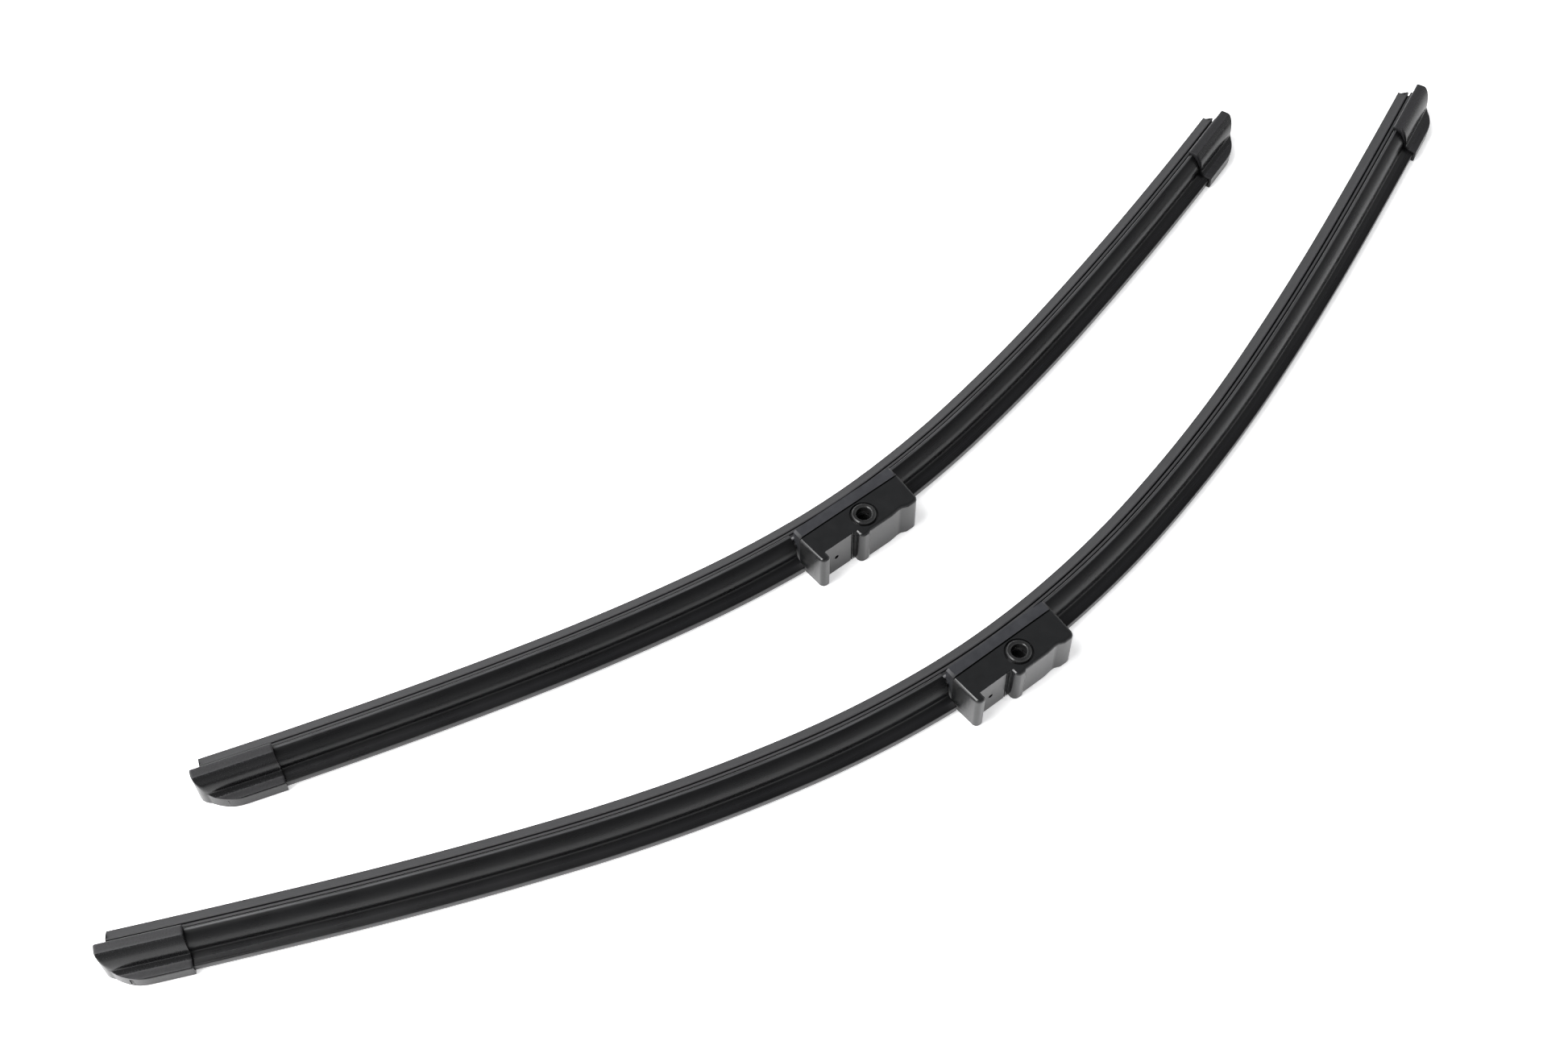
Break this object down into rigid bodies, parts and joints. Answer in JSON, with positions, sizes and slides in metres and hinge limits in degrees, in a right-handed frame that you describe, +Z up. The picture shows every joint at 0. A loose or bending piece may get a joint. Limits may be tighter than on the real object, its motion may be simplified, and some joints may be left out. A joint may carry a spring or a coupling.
{
  "type": "windshield wiper assembly",
  "caption": "Matched pair of flat windshield wiper blades with rubber lips, asymmetric spoilers, end caps and side-pin connectors whose pin bushes swivel.",
  "frame": {"origin": "middle of the pair's footprint, on the table the blades lie on", "axes": "+X along the connectors (towards the right tips), +Y towards the wiping lips and from the long blade to the short one, +Z up off the table"},
  "size_m": [0.6238, 0.156, 0.018],
  "materials": {
    "rubber": "matte, slightly greyed wiping rubber",
    "spring_steel": "rolled spring steel strip",
    "spoiler_plastic": "satin co-extruded black elastomer",
    "cap_plastic": "finely textured black plastic",
    "base_plastic": "satin blue-black moulded plastic",
    "cover_plastic": "satin black moulded plastic",
    "bush_plastic": "smooth black acetal",
    "ring_steel": "plain spring steel wire"
  },
  "bodies": {
    "long_blade": {"long_wiper_rubber": "rubber", "long_upper_spring_rail": "spring_steel", "long_lower_spring_rail": "spring_steel", "long_connector_base": "base_plastic", "long_connector_cover": "cover_plastic", "long_left_spoiler": "spoiler_plastic", "long_right_spoiler": "spoiler_plastic", "long_left_end_cap": "cap_plastic", "long_right_end_cap": "cap_plastic"},
    "short_blade": {"short_wiper_rubber": "rubber", "short_upper_spring_rail": "spring_steel", "short_lower_spring_rail": "spring_steel", "short_connector_base": "base_plastic", "short_connector_cover": "cover_plastic", "short_left_spoiler": "spoiler_plastic", "short_right_spoiler": "spoiler_plastic", "short_left_end_cap": "cap_plastic", "short_right_end_cap": "cap_plastic"},
    "long_bush": {"long_pivot_bush": "bush_plastic", "long_pin_snap_ring": "ring_steel"},
    "short_bush": {"short_pivot_bush": "bush_plastic", "short_pin_snap_ring": "ring_steel"}
  },
  "joints": [
    {"name": "short_blade_lift", "type": "slide", "parent": "long_blade", "child": "short_blade", "axis": [0, 0, 1], "range_m": [0, 0.12]},
    {"name": "long_bush_swivel", "type": "hinge", "parent": "long_blade", "child": "long_bush", "pos_m": [-0.0062, -0.07069, 0.009], "axis": [0, 0, 1], "continuous": true},
    {"name": "short_bush_swivel", "type": "hinge", "parent": "short_blade", "child": "short_bush", "pos_m": [-0.0115, 0.00741, 0.009], "axis": [0, 0, 1], "continuous": true}
  ]
}
